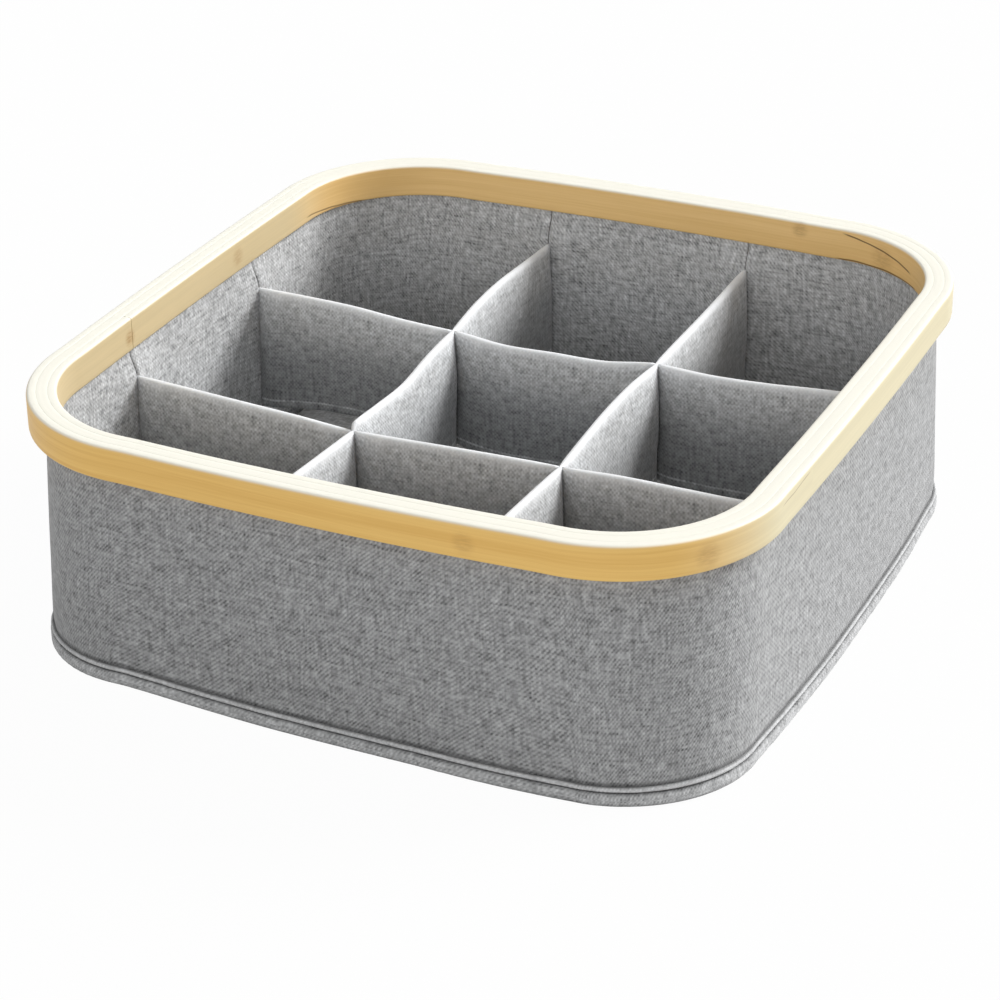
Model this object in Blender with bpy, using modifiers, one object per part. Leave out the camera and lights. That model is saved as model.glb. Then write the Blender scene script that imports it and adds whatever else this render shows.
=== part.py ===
"""Compartment storage basket: a low fabric basket with a laminated bamboo rim.

Three bamboo plies are bent round into a hoop. A groove in the hoop's underside takes the top edge of
the wall, which is a board between an outer cover and a lining of eight panels. A stiffened base is bound
to the wall by a rolled hem with a piping bead above it. Two long fabric dividers run front to back, and
six short ones run across between them, each folded over its own stiffening board. They are sewn flat where
they meet the lining's seams and each other, which gives nine compartments. Their bottom edges hang free
above the floor.

Metres. +Z is up, the front faces -Y, and the origin is the middle of the underside.
"""
import bpy
import bmesh
from math import cos, pi, radians, sin

# Whole basket
RIM_WIDTH = 0.320
RIM_DEPTH = 0.3348
BASKET_HEIGHT = 0.1126
GAP = 0.0003

# Bamboo rim
RIM_HEIGHT = 0.0149
RIM_CORNER = 0.0674
WIDTH_SIDES_BOW = 0.0024
DEPTH_SIDES_BOW = 0.0011
OUTER_PLY = 0.0038
MIDDLE_PLY = 0.0044
INNER_PLY = 0.0037
OUTER_EASING = 0.0012
INNER_EASING = 0.0008
GROOVE_DEPTH = 0.008
SCARF_LENGTH = 0.030
INNER_JOINT_SHARE = -0.34
MIDDLE_JOINT_SHARE = 0.4
SCARF_SHARE = -0.42

# Wall and base
OVERHANG = 0.0068
COVER_CLOTH = 0.0008
LINING_CLOTH = 0.0008
WALL_BOARD = 0.0014
BASE_CLOTH = 0.0008
BASE_BOARD = 0.0020
FLOOR_CLOTH = 0.0008
BASE_CORNER = 0.0563
BASE_BOW = 0.0036
BOARD_JOINT = 0.0010

# How far each side's foot stands out of its plain bow, at even places along it
FRONT_FOOT = (0.0, -0.0013, -0.0021, -0.0014, -0.0002, 0.0003, 0.0009, 0.0026, 0.0032, 0.0011, 0.0)
RIGHT_FOOT = (0.0, 0.0012, 0.0020, 0.0020, 0.0021, 0.0018, 0.0018, 0.0021, 0.0020, 0.0012, 0.0)
PLAIN_FOOT = (0.0, 0.0)

# Hem
HEM_HEIGHT = 0.0058
HEM_PROUD = 0.0012
BEAD_HEIGHT = 0.0024
BEAD_PROUD = 0.0010

# Dividers: shares are of the half width and half depth between the linings, and top shares of the height
DIVIDER_HEIGHT = 0.0820
DIVIDER_HANG = 0.0550
DIVIDER_CLOTH = 0.0008
DIVIDER_BOARD = 0.0016
SEWN_THICKNESS = 0.0014
SEWN_TAPER = 0.0085
CROWN = 0.0007
LEFT_COLUMN_SHARES = (-0.310, -0.298, -0.333, -0.333)
RIGHT_COLUMN_SHARES = (0.325, 0.330, 0.317, 0.325)
ROW_SHARES = (-0.357, 0.323)
LEFT_COLUMN_TOP_SHARES = ((1.024, 1.012, 1.000, 0.985, 0.973),
                          (1.010, 0.977, 0.950, 0.973, 0.978),
                          (0.978, 1.007, 1.015, 1.006, 1.000))
RIGHT_COLUMN_TOP_SHARES = ((1.044, 1.029, 1.023, 1.012, 1.000),
                           (1.000, 1.017, 1.022, 1.017, 1.000),
                           (1.000, 1.009, 1.015, 1.028, 1.044))
FRONT_ROW_TOP_SHARES = ((1.044, 1.029, 1.012, 0.995, 0.973),
                        (0.973, 0.980, 0.989, 0.996, 1.000),
                        (1.000, 1.012, 1.011, 1.010, 1.020))
BACK_ROW_TOP_SHARES = ((1.026, 1.024, 1.015, 0.990, 0.978),
                       (0.978, 0.948, 0.954, 0.959, 1.000),
                       (1.000, 0.989, 1.000, 1.023, 1.040))
STRAIGHT = (0.0, 0.0, 0.0, 0.0, 0.0)
LEFT_COLUMN_SHIFTS = (STRAIGHT, STRAIGHT, (0.0, -0.0008, -0.0011, -0.0005, 0.0))
RIGHT_COLUMN_SHIFTS = (STRAIGHT, (0.0, -0.0003, -0.0009, -0.0009, 0.0), STRAIGHT)
FRONT_ROW_LIFTS = (STRAIGHT, STRAIGHT, STRAIGHT)
BACK_ROW_LIFTS = ((0.0002, 0.0033, 0.0042, 0.0025, 0.0), STRAIGHT, STRAIGHT)

# Facets
CORNER_STEPS = 10
RUN_STEPS = 3
EASING_STEPS = 2
BEAD_STEPS = 5
FOLD_STEPS = 4
MERGE_SHARE = 0.001
OVERRUN = 0.002

# Places worked out from the sizes above
HALF_WIDTH = RIM_WIDTH / 2
HALF_DEPTH = RIM_DEPTH / 2
RIM_BOTTOM = BASKET_HEIGHT - RIM_HEIGHT
RIM_THICKNESS = OUTER_PLY + GAP + MIDDLE_PLY + GAP + INNER_PLY
WALL_TOP = RIM_BOTTOM + GROOVE_DEPTH - GAP
COVER_BACK = OVERHANG + COVER_CLOTH
BOARD_FACE = COVER_BACK + GAP
BOARD_BACK = BOARD_FACE + WALL_BOARD
LINING_BACK = BOARD_BACK + GAP
LINING_FACE = LINING_BACK + LINING_CLOTH
BASE_BOARD_BOTTOM = BASE_CLOTH + GAP
FLOOR_BOTTOM = BASE_BOARD_BOTTOM + BASE_BOARD + GAP
FLOOR_TOP = FLOOR_BOTTOM + FLOOR_CLOTH
BEAD_BOTTOM = HEM_HEIGHT + GAP
COVER_BOTTOM = BEAD_BOTTOM + BEAD_HEIGHT + GAP
INSIDE_HALF_WIDTH = HALF_WIDTH - LINING_FACE
INSIDE_HALF_DEPTH = HALF_DEPTH - LINING_FACE
HALF_SEWN = SEWN_THICKNESS / 2
HALF_BOARD = DIVIDER_BOARD / 2
HALF_POCKET = HALF_BOARD + GAP
HALF_FULL = HALF_POCKET + DIVIDER_CLOTH
LEFT_COLUMN = [share * INSIDE_HALF_WIDTH for share in LEFT_COLUMN_SHARES]
RIGHT_COLUMN = [share * INSIDE_HALF_WIDTH for share in RIGHT_COLUMN_SHARES]
ROWS = [share * INSIDE_HALF_DEPTH for share in ROW_SHARES]

BAMBOO = (0.78, 0.60, 0.36)
BAMBOO_CORE = (0.72, 0.54, 0.32)
COVER_GREY = (0.30, 0.30, 0.31)
LINING_GREY = (0.34, 0.34, 0.35)
BOARD_BROWN = (0.42, 0.36, 0.28)


def clear_scene():
    for thing in list(bpy.data.objects):
        bpy.data.objects.remove(thing, do_unlink=True)


def new_collection(name):
    group = bpy.data.collections.new(name)
    bpy.context.scene.collection.children.link(group)
    return group


def finish(name, colour, roughness):
    """A plain material of the piece's own colour."""
    material = bpy.data.materials.new(name)
    material.use_nodes = True
    shader = material.node_tree.nodes["Principled BSDF"]
    shader.inputs["Base Color"].default_value = (*colour, 1.0)
    shader.inputs["Roughness"].default_value = roughness
    shader.inputs["Metallic"].default_value = 0.0
    material.diffuse_color = (*colour, 1.0)
    return material


def add_object(name, bm, group, material=None):
    mesh = bpy.data.meshes.new(name)
    bm.to_mesh(mesh)
    bm.free()
    thing = bpy.data.objects.new(name, mesh)
    group.objects.link(thing)
    if material:
        mesh.materials.append(material)
    else:
        thing.hide_render = True
        thing.display_type = "WIRE"
    return thing


# The plan outline that every layer follows

def wall_share(height):
    """0 at the table, 1 at the rim's underside and above."""
    return min(height / RIM_BOTTOM, 1)


def corner_radius(height):
    return BASE_CORNER + (RIM_CORNER - BASE_CORNER) * wall_share(height)


def partway(values, share):
    """The value at a share of the way along evenly spaced ones."""
    spans = len(values) - 1
    index = min(int(share * spans), spans - 1)
    return values[index] + (values[index + 1] - values[index]) * (share * spans - index)


def foot_sway(foot, along, half_along, height):
    """How far a side stands out of its plain bow: most at the table, and nothing at the rim."""
    return partway(foot, (along / half_along + 1) / 2) * (1 - wall_share(height))


def side_reach(along, half_out, half_along, top_bow, foot, height):
    """How far out a bowed side stands, at a place along it."""
    bow = BASE_BOW + (top_bow - BASE_BOW) * wall_share(height)
    straight = half_along - corner_radius(height)
    bowed = half_out + bow * (1 - (along / straight) ** 2)
    return bowed + foot_sway(foot, along, half_along, height)


def right_reach(along, height):
    return side_reach(along, HALF_WIDTH, HALF_DEPTH, DEPTH_SIDES_BOW, RIGHT_FOOT, height)


def left_reach(along, height):
    return side_reach(along, HALF_WIDTH, HALF_DEPTH, DEPTH_SIDES_BOW, PLAIN_FOOT, height)


def back_reach(along, height):
    return side_reach(along, HALF_DEPTH, HALF_WIDTH, WIDTH_SIDES_BOW, PLAIN_FOOT, height)


def front_reach(along, height):
    return side_reach(along, HALF_DEPTH, HALF_WIDTH, WIDTH_SIDES_BOW, FRONT_FOOT, height)


def stations(marks, straight):
    """Places along one straight side: its ends, the seams on it, and steps between them."""
    stops = [-straight, *sorted(marks), straight]
    places = []
    for low, high in zip(stops, stops[1:]):
        places += [low + (high - low) * step / RUN_STEPS for step in range(RUN_STEPS)]
    return places + [straight]


def corner_arc(turn, inset, height):
    """The points between two sides: turn 0 is the back right corner, going round anticlockwise."""
    radius = corner_radius(height)
    x_side = 1 if turn in (0, 3) else -1
    y_side = 1 if turn in (0, 1) else -1
    x_foot = RIGHT_FOOT if x_side > 0 else PLAIN_FOOT
    y_foot = PLAIN_FOOT if y_side > 0 else FRONT_FOOT
    centre_x = x_side * (HALF_WIDTH - radius)
    centre_y = y_side * (HALF_DEPTH - radius)
    points = []
    for step in range(1, CORNER_STEPS):
        angle = radians(90 * (turn + step / CORNER_STEPS))
        outer_x = centre_x + radius * cos(angle)
        outer_y = centre_y + radius * sin(angle)
        x = outer_x - inset * cos(angle) + x_side * foot_sway(x_foot, outer_y, HALF_DEPTH, height)
        y = outer_y - inset * sin(angle) + y_side * foot_sway(y_foot, outer_x, HALF_WIDTH, height)
        points.append((x, y))
    return points


def outline(inset, height):
    """The basket's plan at a height, anticlockwise from the front right, moved inwards by inset."""
    straight_y = HALF_DEPTH - corner_radius(height)
    straight_x = HALF_WIDTH - corner_radius(height)
    side_places = stations(ROWS, straight_y)
    right = [(right_reach(y, height) - inset, y) for y in side_places]
    back_places = stations((LEFT_COLUMN[3], RIGHT_COLUMN[3]), straight_x)
    back = [(x, back_reach(x, height) - inset) for x in back_places]
    left = [(inset - left_reach(y, height), y) for y in reversed(side_places)]
    front_places = stations((LEFT_COLUMN[0], RIGHT_COLUMN[0]), straight_x)
    front = [(x, inset - front_reach(x, height)) for x in front_places]
    points = right + corner_arc(0, inset, height)
    points += list(reversed(back)) + corner_arc(1, inset, height)
    points += left + corner_arc(2, inset, height)
    return points + front + corner_arc(3, inset, height)


# Shapes

def bent_grid(columns, rows, place):
    """A grid bent to place(column, row), joined along any edges that then meet."""
    bm = bmesh.new()
    bmesh.ops.create_grid(bm, x_segments=columns, y_segments=rows, size=1)
    for vert in bm.verts:
        column = round((vert.co.x + 1) / 2 * columns)
        row = round((vert.co.y + 1) / 2 * rows)
        vert.co = place(column, row)
    bmesh.ops.remove_doubles(bm, verts=bm.verts, dist=GAP * MERGE_SHARE)
    return bm


def carried_round(profile):
    """A closed profile of (inset, height) points carried round the outline, as a closed solid."""
    rings = [outline(inset, height) for inset, height in profile]
    count = len(rings[0])

    def place(column, row):
        return (*rings[row % len(rings)][column % count], profile[row % len(profile)][1])

    bm = bent_grid(count, len(profile), place)
    bmesh.ops.recalc_face_normals(bm, faces=bm.faces)
    return bm


def upright_sheet(inset, heights):
    """An open sheet round the outline, facing outwards."""
    rings = [outline(inset, height) for height in heights]
    count = len(rings[0])
    return bent_grid(count, len(heights) - 1, lambda column, row: (*rings[row][column % count], heights[row]))


def thicken(thing, thickness):
    """Solid material behind an open sheet's face."""
    shell = thing.modifiers.new("thickness", "SOLIDIFY")
    shell.thickness = thickness
    shell.offset = -1
    shell.use_even_offset = True


def cut(thing, cutter):
    slot = thing.modifiers.new("cut by " + cutter.name, "BOOLEAN")
    slot.operation = "DIFFERENCE"
    slot.object = cutter


def keep_beyond(bm, point, normal):
    """Cuts the sheet at a plane and keeps the side that the normal points to."""
    bmesh.ops.bisect_plane(bm, geom=[*bm.verts, *bm.edges, *bm.faces], dist=GAP * MERGE_SHARE,
                           plane_co=point, plane_no=normal, clear_inner=True)


def eased(corners):
    """Profile points through right-angled corners (inset, height, radius), in order round the profile."""
    points = []
    for index, (inset, height, radius) in enumerate(corners):
        if not radius:
            points.append((inset, height))
            continue
        before = corners[index - 1]
        after = corners[(index + 1) % len(corners)]
        back = [direction(before[0] - inset), direction(before[1] - height)]
        onward = [direction(after[0] - inset), direction(after[1] - height)]
        centre = [inset + radius * (back[0] + onward[0]), height + radius * (back[1] + onward[1])]
        for step in range(EASING_STEPS + 1):
            angle = pi / 2 * step / EASING_STEPS
            points.append(tuple(centre[axis] - radius * (onward[axis] * cos(angle) + back[axis] * sin(angle))
                                for axis in (0, 1)))
    return points


def direction(value):
    return (value > 0) - (value < 0)


def bead(back, face, bottom, top):
    """A half-round profile with a flat back."""
    middle = (bottom + top) / 2
    half = (top - bottom) / 2
    angles = [pi * step / BEAD_STEPS for step in range(BEAD_STEPS + 1)]
    return [(back - (back - face) * sin(a), middle - half * cos(a)) for a in angles]


def plate(name, inset, bottom, thickness, group, material):
    """A flat piece that fills the outline, its underside at bottom."""
    top = bottom + thickness
    bm = bmesh.new()
    corners = [bm.verts.new((x, y, top)) for x, y in outline(inset, top)]
    bm.faces.new(corners)
    thicken(add_object(name, bm, group, material), thickness)


def block(name, low, high, group):
    """A box-shaped cutter between two corners."""
    bm = bmesh.new()
    bmesh.ops.create_cube(bm, size=1)
    for vert in bm.verts:
        vert.co = [low[i] + (high[i] - low[i]) * (vert.co[i] + 0.5) for i in range(3)]
    return add_object(name, bm, group)


# Rim

def make_rim(parts, cutters):
    bamboo = finish("bamboo", BAMBOO, 0.45)
    core = finish("bamboo_core", BAMBOO_CORE, 0.5)
    middle = OUTER_PLY + GAP
    inner = middle + MIDDLE_PLY + GAP
    groove = [(OVERHANG - GAP, RIM_BOTTOM - OVERRUN), (LINING_FACE + GAP, RIM_BOTTOM - OVERRUN),
              (LINING_FACE + GAP, RIM_BOTTOM + GROOVE_DEPTH), (OVERHANG - GAP, RIM_BOTTOM + GROOVE_DEPTH)]
    groove_cutter = add_object("rim_groove_cutter", carried_round(groove), cutters)
    plies = (("rim_outer_ply", 0, OUTER_PLY, OUTER_EASING, 0, bamboo, scarf_cutter(cutters)),
             ("rim_middle_ply", middle, middle + MIDDLE_PLY, 0, 0, core, middle_joint_cutter(cutters)),
             ("rim_inner_ply", inner, RIM_THICKNESS, 0, INNER_EASING, bamboo, inner_joint_cutter(cutters)))
    for name, face, back, outside, inside, material, joint_cutter in plies:
        profile = eased([(face, RIM_BOTTOM, outside), (back, RIM_BOTTOM, inside),
                         (back, BASKET_HEIGHT, inside), (face, BASKET_HEIGHT, outside)])
        ply = add_object(name, carried_round(profile), parts, material)
        cut(ply, groove_cutter)
        cut(ply, joint_cutter)


def inner_joint_cutter(cutters):
    """The inner ply's ends butt on the left side, over the front row of dividers."""
    y = INNER_JOINT_SHARE * HALF_DEPTH
    return block("inner_joint_cutter", (-HALF_WIDTH - OVERRUN, y - GAP / 2, RIM_BOTTOM - OVERRUN),
                 (RIM_THICKNESS + OVERRUN - HALF_WIDTH, y + GAP / 2, BASKET_HEIGHT + OVERRUN), cutters)


def middle_joint_cutter(cutters):
    """The middle ply's ends butt at the back."""
    x = MIDDLE_JOINT_SHARE * HALF_WIDTH
    return block("middle_joint_cutter", (x - GAP / 2, HALF_DEPTH - RIM_THICKNESS, RIM_BOTTOM - OVERRUN),
                 (x + GAP / 2, HALF_DEPTH + WIDTH_SIDES_BOW + OVERRUN, BASKET_HEIGHT + OVERRUN), cutters)


def scarf_cutter(cutters):
    """The outer ply's ends lap in a long slanted joint on the right side, near the front."""
    near = SCARF_SHARE * HALF_DEPTH
    outside = right_reach(near, BASKET_HEIGHT) + OVERRUN
    inside = HALF_WIDTH - OUTER_PLY - OVERRUN
    low, high = RIM_BOTTOM - OVERRUN, BASKET_HEIGHT + OVERRUN

    def place(column, row):
        x, y = ((outside, near), (inside, near + SCARF_LENGTH))[row // 2 % 2]
        shift = GAP if row in (1, 2) else 0
        return (x, y + shift * SCARF_LENGTH / OUTER_PLY, (low, high)[column])

    bm = bent_grid(1, 4, place)
    bmesh.ops.holes_fill(bm, edges=bm.edges)
    bmesh.ops.recalc_face_normals(bm, faces=bm.faces)
    return add_object("scarf_cutter", bm, cutters)


# Wall, lining and base

def make_wall(parts):
    cover = finish("cover_cloth", COVER_GREY, 0.95)
    board = finish("wall_board", BOARD_BROWN, 0.9)
    sheet = upright_sheet(OVERHANG, (COVER_BOTTOM, RIM_BOTTOM, WALL_TOP))
    thicken(add_object("outer_cover", sheet, parts, cover), COVER_CLOTH)
    for name, side in (("front_wall_board", -1), ("back_wall_board", 1)):
        sheet = upright_sheet(BOARD_FACE, (BASE_BOARD_BOTTOM, RIM_BOTTOM, WALL_TOP))
        keep_beyond(sheet, (0, side * BOARD_JOINT / 2, 0), (0, side, 0))
        thicken(add_object(name, sheet, parts, board), WALL_BOARD)


def make_lining(parts):
    """Eight panels, one between each pair of neighbouring divider seams."""
    lining = finish("lining_cloth", LINING_GREY, 0.95)
    for y_name, y_side in (("front", -1), ("back", 1)):
        for x_name, x_side, x in (("left", -1, side_column(LEFT_COLUMN, y_side)),
                                  ("right", 1, side_column(RIGHT_COLUMN, y_side))):
            y = ROWS[y_side > 0]
            sheet = lining_sheet()
            keep_beyond(sheet, (x + x_side * GAP / 2, 0, 0), (x_side, 0, 0))
            keep_beyond(sheet, (0, y + y_side * GAP / 2, 0), (0, y_side, 0))
            add_panel(f"lining_{y_name}_{x_name}_corner", sheet, parts, lining)
        sheet = lining_sheet()
        keep_beyond(sheet, (side_column(LEFT_COLUMN, y_side) + GAP / 2, 0, 0), (1, 0, 0))
        keep_beyond(sheet, (side_column(RIGHT_COLUMN, y_side) - GAP / 2, 0, 0), (-1, 0, 0))
        keep_beyond(sheet, (0, 0, 0), (0, y_side, 0))
        add_panel(f"lining_{y_name}_middle", sheet, parts, lining)
    for name, side in (("left", -1), ("right", 1)):
        sheet = lining_sheet()
        keep_beyond(sheet, (0, ROWS[0] + GAP / 2, 0), (0, 1, 0))
        keep_beyond(sheet, (0, ROWS[1] - GAP / 2, 0), (0, -1, 0))
        keep_beyond(sheet, (0, 0, 0), (side, 0, 0))
        add_panel(f"lining_{name}_middle", sheet, parts, lining)


def side_column(column, y_side):
    """Where a column of dividers meets the back wall, or the front one."""
    return column[3] if y_side > 0 else column[0]


def lining_sheet():
    return upright_sheet(LINING_BACK, (FLOOR_BOTTOM, RIM_BOTTOM, WALL_TOP))


def add_panel(name, sheet, parts, lining):
    thicken(add_object(name, sheet, parts, lining), LINING_CLOTH)


def make_base(parts):
    plate("base_cover", BOARD_FACE, 0, BASE_CLOTH, parts, finish("base_cloth", COVER_GREY, 0.95))
    plate("base_board", LINING_BACK, BASE_BOARD_BOTTOM, BASE_BOARD, parts,
          finish("base_board", BOARD_BROWN, 0.9))
    plate("floor_lining", LINING_FACE + GAP, FLOOR_BOTTOM, FLOOR_CLOTH, parts,
          finish("floor_cloth", LINING_GREY, 0.95))


def make_hem(parts):
    hem = bead(COVER_BACK, OVERHANG - HEM_PROUD, 0, HEM_HEIGHT)
    piping = bead(COVER_BACK, OVERHANG - BEAD_PROUD, BEAD_BOTTOM, BEAD_BOTTOM + BEAD_HEIGHT)
    add_object("rolled_hem", carried_round(hem), parts, finish("hem_cloth", COVER_GREY, 0.95))
    add_object("hem_piping", carried_round(piping), parts, finish("piping_cloth", COVER_GREY, 0.95))


# Dividers

class Run:
    """One stretch of divider between two seams. Distances across it are taken square to its axis."""

    def __init__(self, axis, start, end, tops, lifts, shifts, start_wall, end_wall):
        self.axis = axis
        self.start = start
        self.end = end
        self.tops = tops
        self.lifts = lifts
        self.shifts = shifts
        self.start_wall = start_wall
        self.end_wall = end_wall
        self.length = end[axis] - start[axis]

    def middle(self, share):
        """Where the divider's middle lies, across its run."""
        across = 1 - self.axis
        lean = self.start[across] + (self.end[across] - self.start[across]) * share
        return lean + partway(self.shifts, share)

    def wall_end(self, reach, across, height):
        return reach(across, height) - LINING_FACE - GAP

    def point(self, share, side, height):
        """A point at a share of the run, a distance to one side, and a height."""
        across = self.middle(share) + side
        near, far = (front_reach, back_reach) if self.axis else (left_reach, right_reach)
        start = -self.wall_end(near, across, height) if self.start_wall else self.start[self.axis]
        end = self.wall_end(far, across, height) if self.end_wall else self.end[self.axis]
        along = start + (end - start) * share
        return (across, along, height) if self.axis else (along, across, height)

    def half_thickness(self, share):
        """Sewn flat at both ends, full between them."""
        reach = min(share, 1 - share) * self.length / SEWN_TAPER
        return HALF_SEWN + (HALF_FULL - HALF_SEWN) * sin(min(reach, 1) * pi / 2)

    def top(self, share):
        """The height of the fold."""
        return DIVIDER_HEIGHT * partway(self.tops, share)

    def bottom(self, share):
        """The height of the free edge, lifted a little where the cloth rides up."""
        return self.top(share) - DIVIDER_HANG + partway(self.lifts, share)

    def shares(self):
        taper = SEWN_TAPER / self.length
        half = [0, taper / 2, taper, 0.25]
        return half + [0.5] + [1 - share for share in reversed(half)]

    def pocket_shares(self):
        return self.shares()[2:-2]


def sleeve_section(run, share):
    """The folded cloth's outside at one place: up one side, over the fold, and down the other."""
    half = run.half_thickness(share)
    bottom = run.bottom(share)
    shoulder = run.top(share) - half
    crown = CROWN * sin(pi * share)
    side = [(half, bottom),
            (half + crown, bottom + (shoulder - bottom) / 3),
            (half + crown, bottom + (shoulder - bottom) * 2 / 3)]
    fold = [(half * cos(pi * step / FOLD_STEPS), shoulder + half * sin(pi * step / FOLD_STEPS))
            for step in range(FOLD_STEPS + 1)]
    section = side + fold + [(-across, height) for across, height in reversed(side)]
    return [run.point(share, across, height) for across, height in section]


def slab_section(run, share, half, overrun, drop):
    bottom = run.bottom(share) - overrun
    top = run.top(share) - drop
    corners = ((half, bottom), (half, top), (-half, top), (-half, bottom))
    return [run.point(share, across, height) for across, height in corners]


def loft(sections):
    """A closed solid through sections of equal length, with flat ends."""
    count = len(sections[0])
    bm = bent_grid(len(sections) - 1, count, lambda column, row: sections[column][row % count])
    bmesh.ops.holes_fill(bm, edges=bm.edges)
    bmesh.ops.recalc_face_normals(bm, faces=bm.faces)
    return bm


def add_divider(name, runs, parts, cutters, cloth, board):
    """One fabric sleeve over its boards, a pocket for each, open along the bottom."""
    sections = []
    for index, run in enumerate(runs):
        shares = run.shares() if index == 0 else run.shares()[1:]
        sections += [sleeve_section(run, share) for share in shares]
    sleeve = add_object(name + "_sleeve", loft(sections), parts, cloth)
    drop = HALF_FULL - HALF_POCKET
    for run, end in zip(runs, ("front", "middle", "back")):
        label = name if len(runs) == 1 else name + "_" + end
        pocket = [slab_section(run, share, HALF_POCKET, OVERRUN, drop)
                  for share in run.pocket_shares()]
        cut(sleeve, add_object(label + "_pocket_cutter", loft(pocket), cutters))
        shares = run.pocket_shares()
        inset = GAP / run.length
        shares[0] += inset
        shares[-1] -= inset
        stiffener = [slab_section(run, share, HALF_BOARD, 0, drop + GAP) for share in shares]
        add_object(label + "_board", loft(stiffener), parts, board)


def make_dividers(parts, cutters):
    cloth = finish("divider_cloth", LINING_GREY, 0.95)
    board = finish("divider_board", BOARD_BROWN, 0.9)
    inside = INSIDE_HALF_DEPTH - GAP
    y_stops = (-inside, *ROWS, inside)
    for name, column, tops, shifts in (
            ("left_column", LEFT_COLUMN, LEFT_COLUMN_TOP_SHARES, LEFT_COLUMN_SHIFTS),
            ("right_column", RIGHT_COLUMN, RIGHT_COLUMN_TOP_SHARES, RIGHT_COLUMN_SHIFTS)):
        stops = list(zip(column, y_stops))
        runs = [Run(1, stops[i], stops[i + 1], tops[i], STRAIGHT, shifts[i], i == 0, i == 2)
                for i in range(3)]
        add_divider(name, runs, parts, cutters, cloth, board)
    beside = HALF_SEWN + GAP
    for index, (row_name, tops, lifts) in enumerate((("front_row", FRONT_ROW_TOP_SHARES, FRONT_ROW_LIFTS),
                                                     ("back_row", BACK_ROW_TOP_SHARES, BACK_ROW_LIFTS))):
        y = ROWS[index]
        left, right = LEFT_COLUMN[index + 1], RIGHT_COLUMN[index + 1]
        x_stops = (("left", -INSIDE_HALF_WIDTH + GAP, left - beside),
                   ("middle", left + beside, right - beside),
                   ("right", right + beside, INSIDE_HALF_WIDTH - GAP))
        for place, (name, start, end) in enumerate(x_stops):
            run = Run(0, (start, y), (end, y), tops[place], lifts[place], STRAIGHT, place == 0, place == 2)
            add_divider(f"{row_name}_{name}", [run], parts, cutters, cloth, board)


def main():
    clear_scene()
    parts = new_collection("compartment_storage_basket")
    cutters = new_collection("cutters")
    make_rim(parts, cutters)
    make_wall(parts)
    make_lining(parts)
    make_base(parts)
    make_hem(parts)
    make_dividers(parts, cutters)


main()
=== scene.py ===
"""Looks of the compartment storage basket: laminated bamboo hoop, grey woven cloth, sewn dividers."""
from math import ceil, cos, exp, hypot, pi, radians, sin

import bmesh
import bpy
import numpy as np
from mathutils import Matrix, Vector, noise


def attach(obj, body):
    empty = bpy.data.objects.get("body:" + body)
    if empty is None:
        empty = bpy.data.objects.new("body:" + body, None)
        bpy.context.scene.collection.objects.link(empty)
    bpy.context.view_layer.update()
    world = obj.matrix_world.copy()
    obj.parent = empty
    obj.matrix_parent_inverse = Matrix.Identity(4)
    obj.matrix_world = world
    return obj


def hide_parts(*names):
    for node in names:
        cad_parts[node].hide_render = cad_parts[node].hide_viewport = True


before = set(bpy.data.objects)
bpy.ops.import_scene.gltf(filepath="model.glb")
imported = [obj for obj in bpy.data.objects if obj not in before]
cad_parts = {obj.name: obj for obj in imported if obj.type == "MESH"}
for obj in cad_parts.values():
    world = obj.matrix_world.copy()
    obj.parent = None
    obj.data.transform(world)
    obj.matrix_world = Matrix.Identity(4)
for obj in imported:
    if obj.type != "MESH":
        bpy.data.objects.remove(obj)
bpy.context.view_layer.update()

# Sizes of the CAD part, in metres
RIM_WIDTH = 0.320
RIM_DEPTH = 0.3348
BASKET_HEIGHT = 0.1126
RIM_HEIGHT = 0.0149
RIM_CORNER = 0.0674
WIDTH_SIDES_BOW = 0.0024
DEPTH_SIDES_BOW = 0.0011
BASE_CORNER = 0.0563
BASE_BOW = 0.0036
PLY_FACES = (0.0, 0.0041, 0.0088)
PLY_BACKS = (0.0038, 0.0085, 0.0125)
GROOVE = (0.0065, 0.0107)
GROOVE_DEPTH = 0.008
COVER_FACE = 0.0068
COVER_BACK = 0.0076
LINING_FACE = 0.0104
CLOTH = 0.0008
FLOOR_TOP = 0.0042
HEM_HEIGHT = 0.0058
HEM_PROUD = 0.0012
BEAD_BOTTOM = 0.0061
BEAD_TOP = 0.0085
BEAD_PROUD = 0.0010
COVER_BOTTOM = 0.0088
GAP = 0.0003
# How far the foot of a side stands out of its plain bow, at even steps along it
FRONT_FOOT = (0.0, -0.0013, -0.0021, -0.0014, -0.0002, 0.0003, 0.0009, 0.0026, 0.0032, 0.0011, 0.0)
RIGHT_FOOT = (0.0, 0.0012, 0.0020, 0.0020, 0.0021, 0.0018, 0.0018, 0.0021, 0.0020, 0.0012, 0.0)
PLAIN_FOOT = (0.0, 0.0)

HALF_WIDTH = RIM_WIDTH / 2
HALF_DEPTH = RIM_DEPTH / 2
RIM_BOTTOM = BASKET_HEIGHT - RIM_HEIGHT
WALL_TOP = RIM_BOTTOM + GROOVE_DEPTH - GAP
INSIDE_HALF_WIDTH = HALF_WIDTH - LINING_FACE
INSIDE_HALF_DEPTH = HALF_DEPTH - LINING_FACE

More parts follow.
